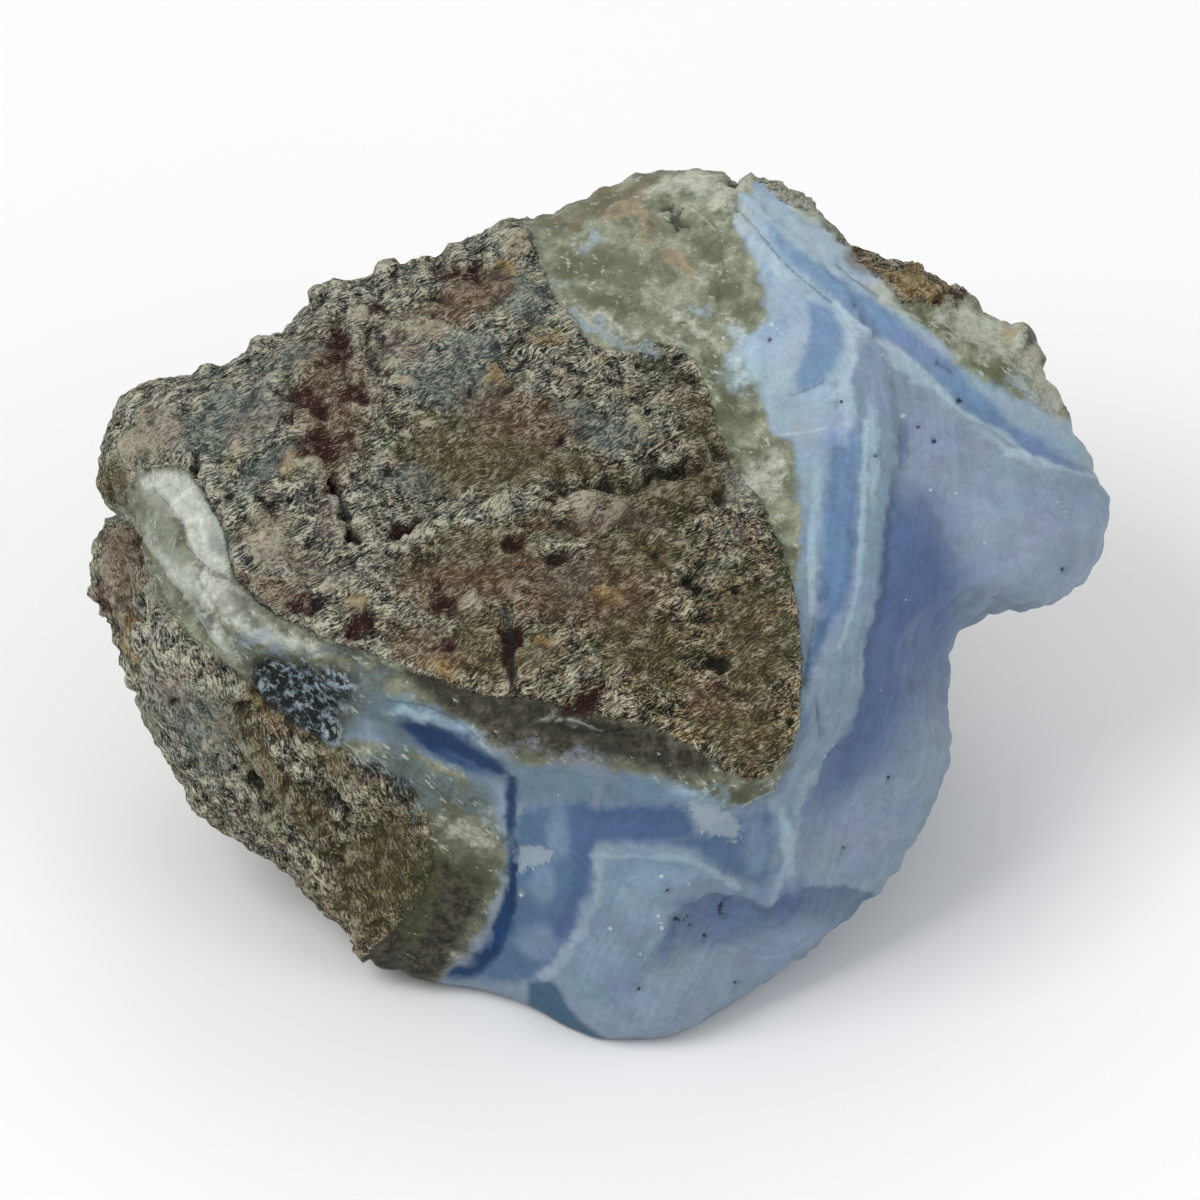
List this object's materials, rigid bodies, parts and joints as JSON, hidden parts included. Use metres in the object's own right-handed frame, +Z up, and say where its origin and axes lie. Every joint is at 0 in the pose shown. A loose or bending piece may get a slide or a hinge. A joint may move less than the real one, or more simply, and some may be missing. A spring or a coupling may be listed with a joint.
{
  "type": "rough blue lace agate geode piece",
  "caption": "Broken piece of mineral rock: a chunky block of dark granular host stone veined and edged with banded pale blue agate, resting on a flat spot.",
  "frame": {"origin": "bottom centre of the bounding box, on the level of the flat spot that the stone rests on", "axes": "+Z up, +X to the right along the longest extent, -Y toward the broken side that shows the host rock and the blue bands"},
  "size_m": [0.101, 0.0762, 0.0566],
  "materials": {
    "stone": "rough granular host rock with satin, slightly translucent blue agate"
  },
  "bodies": {
    "root": {"agate_stone": "stone"}
  },
  "joints": []
}
